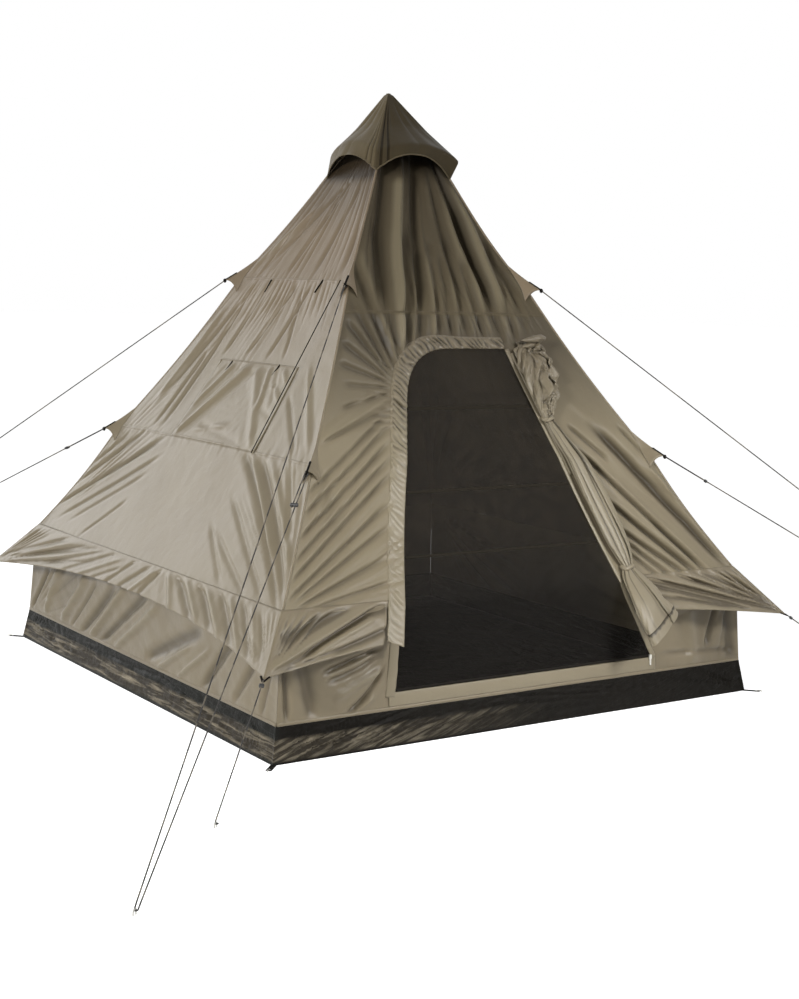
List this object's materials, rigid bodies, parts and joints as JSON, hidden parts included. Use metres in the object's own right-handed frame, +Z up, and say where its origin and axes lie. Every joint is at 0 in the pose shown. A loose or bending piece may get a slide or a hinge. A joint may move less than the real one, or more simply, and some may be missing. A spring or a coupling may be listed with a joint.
{
  "type": "tipi tent",
  "caption": "Square tipi tent with a centre pole, arched mesh door, side window, eave skirts, vent cap, groundsheet tub, guy lines and pegs.",
  "frame": {"origin": "middle of the groundsheet's underside, which lies on the ground", "axes": "+Z up, the doorway faces -Y, the window faces -X"},
  "size_m": [4.477, 4.477, 2.731],
  "materials": {
    "olive_polyester": "matte woven polyester",
    "dark_groundsheet": "coated sheet with a soft sheen",
    "black_mesh": "fine insect netting",
    "dark_cord": "twisted cord",
    "galvanised_steel": "zinc plated",
    "black_plastic": "moulded",
    "black_rubber": "matt"
  },
  "bodies": {
    "tent": {"door_band": "olive_polyester", "door_flap_tied_back": "olive_polyester", "door_tie_roll": "olive_polyester", "eave_line_back_left": "dark_cord", "eave_line_back_right": "dark_cord", "eave_line_front_left": "dark_cord", "eave_line_front_right": "dark_cord", "groundsheet_tub": "dark_groundsheet", "guy_line_back_left": "dark_cord", "guy_line_back_right": "dark_cord", "guy_line_front_left": "dark_cord", "guy_line_front_right": "dark_cord", "hip_back_left": "olive_polyester", "hip_back_right": "olive_polyester", "hip_front_left": "olive_polyester", "hip_front_right": "olive_polyester", "pole_foot": "black_rubber", "pole_lower": "galvanised_steel", "pole_middle": "galvanised_steel", "pole_upper": "galvanised_steel", "roof_back": "olive_polyester", "roof_front_lower": "olive_polyester", "roof_front_upper": "olive_polyester", "roof_left": "olive_polyester", "roof_right": "olive_polyester", "skirt_back": "olive_polyester", "skirt_front_left": "olive_polyester", "skirt_front_right": "olive_polyester", "skirt_left": "olive_polyester", "skirt_right": "olive_polyester", "vent_cap": "olive_polyester", "wall_back": "olive_polyester", "wall_front": "olive_polyester", "wall_left": "olive_polyester", "wall_right": "olive_polyester", "window_net": "black_mesh", "window_tie_cord": "dark_cord"},
    "mesh_door": {"mesh_door": "black_mesh"},
    "window_flap": {"window_flap": "olive_polyester"},
    "zip_slider": {"zip_slider": "galvanised_steel"},
    "runner_front_right": {"runner_front_right": "black_plastic"},
    "runner_back_right": {"runner_back_right": "black_plastic"},
    "runner_back_left": {"runner_back_left": "black_plastic"},
    "runner_front_left": {"runner_front_left": "black_plastic"},
    "eave_runner_front_right": {"eave_runner_front_right": "black_plastic"},
    "eave_runner_back_right": {"eave_runner_back_right": "black_plastic"},
    "eave_runner_back_left": {"eave_runner_back_left": "black_plastic"},
    "eave_runner_front_left": {"eave_runner_front_left": "black_plastic"},
    "far_peg_front_right": {"far_peg_front_right": "galvanised_steel"},
    "far_peg_back_right": {"far_peg_back_right": "galvanised_steel"},
    "far_peg_back_left": {"far_peg_back_left": "galvanised_steel"},
    "far_peg_front_left": {"far_peg_front_left": "galvanised_steel"},
    "near_peg_front_right": {"near_peg_front_right": "galvanised_steel"},
    "near_peg_back_right": {"near_peg_back_right": "galvanised_steel"},
    "near_peg_back_left": {"near_peg_back_left": "galvanised_steel"},
    "near_peg_front_left": {"near_peg_front_left": "galvanised_steel"},
    "corner_peg_front_right": {"corner_peg_front_right": "galvanised_steel"},
    "corner_peg_back_right": {"corner_peg_back_right": "galvanised_steel"},
    "corner_peg_back_left": {"corner_peg_back_left": "galvanised_steel"},
    "corner_peg_front_left": {"corner_peg_front_left": "galvanised_steel"}
  },
  "joints": [
    {"name": "mesh_door_hinge", "type": "hinge", "parent": "tent", "child": "mesh_door", "pos_m": [0.4738, -1.153, 0.533], "axis": [-0.1914, 0.4898, 0.8505], "range_deg": [0, 90]},
    {"name": "window_flap_hinge", "type": "hinge", "parent": "tent", "child": "window_flap", "pos_m": [-0.66546, 0, 1.383], "axis": [0, 1, 0], "range_deg": [0, 150]},
    {"name": "zip_slider_slide", "type": "slide", "parent": "tent", "child": "zip_slider", "axis": [-1, 0, 0], "range_m": [0, 1.25]},
    {"name": "runner_front_right_slide", "type": "slide", "parent": "tent", "child": "runner_front_right", "axis": [-0.6205, 0.6205, 0.4795], "range_m": [0, 0.12]},
    {"name": "runner_back_right_slide", "type": "slide", "parent": "tent", "child": "runner_back_right", "axis": [-0.6205, -0.6205, 0.4795], "range_m": [0, 0.12]},
    {"name": "runner_back_left_slide", "type": "slide", "parent": "tent", "child": "runner_back_left", "axis": [0.6205, -0.6205, 0.4795], "range_m": [0, 0.12]},
    {"name": "runner_front_left_slide", "type": "slide", "parent": "tent", "child": "runner_front_left", "axis": [0.6205, 0.6205, 0.4795], "range_m": [0, 0.12]},
    {"name": "eave_runner_front_right_slide", "type": "slide", "parent": "tent", "child": "eave_runner_front_right", "axis": [0.5899, -0.6026, -0.5375], "range_m": [0, 0.45]},
    {"name": "eave_runner_back_right_slide", "type": "slide", "parent": "tent", "child": "eave_runner_back_right", "axis": [0.6026, 0.5899, -0.5375], "range_m": [0, 0.45]},
    {"name": "eave_runner_back_left_slide", "type": "slide", "parent": "tent", "child": "eave_runner_back_left", "axis": [-0.5899, 0.6026, -0.5375], "range_m": [0, 0.45]},
    {"name": "eave_runner_front_left_slide", "type": "slide", "parent": "tent", "child": "eave_runner_front_left", "axis": [-0.6026, -0.5899, -0.5375], "range_m": [0, 0.45]},
    {"name": "far_peg_front_right_pull", "type": "slide", "parent": "tent", "child": "far_peg_front_right", "axis": [0, 0, 1], "range_m": [0, 0.19]},
    {"name": "far_peg_back_right_pull", "type": "slide", "parent": "tent", "child": "far_peg_back_right", "axis": [0, 0, 1], "range_m": [0, 0.19]},
    {"name": "far_peg_back_left_pull", "type": "slide", "parent": "tent", "child": "far_peg_back_left", "axis": [0, 0, 1], "range_m": [0, 0.19]},
    {"name": "far_peg_front_left_pull", "type": "slide", "parent": "tent", "child": "far_peg_front_left", "axis": [0, 0, 1], "range_m": [0, 0.19]},
    {"name": "near_peg_front_right_pull", "type": "slide", "parent": "tent", "child": "near_peg_front_right", "axis": [0, 0, 1], "range_m": [0, 0.19]},
    {"name": "near_peg_back_right_pull", "type": "slide", "parent": "tent", "child": "near_peg_back_right", "axis": [0, 0, 1], "range_m": [0, 0.19]},
    {"name": "near_peg_back_left_pull", "type": "slide", "parent": "tent", "child": "near_peg_back_left", "axis": [0, 0, 1], "range_m": [0, 0.19]},
    {"name": "near_peg_front_left_pull", "type": "slide", "parent": "tent", "child": "near_peg_front_left", "axis": [0, 0, 1], "range_m": [0, 0.19]},
    {"name": "corner_peg_front_right_pull", "type": "slide", "parent": "tent", "child": "corner_peg_front_right", "axis": [0, 0, 1], "range_m": [0, 0.19]},
    {"name": "corner_peg_back_right_pull", "type": "slide", "parent": "tent", "child": "corner_peg_back_right", "axis": [0, 0, 1], "range_m": [0, 0.19]},
    {"name": "corner_peg_back_left_pull", "type": "slide", "parent": "tent", "child": "corner_peg_back_left", "axis": [0, 0, 1], "range_m": [0, 0.19]},
    {"name": "corner_peg_front_left_pull", "type": "slide", "parent": "tent", "child": "corner_peg_front_left", "axis": [0, 0, 1], "range_m": [0, 0.19]}
  ]
}
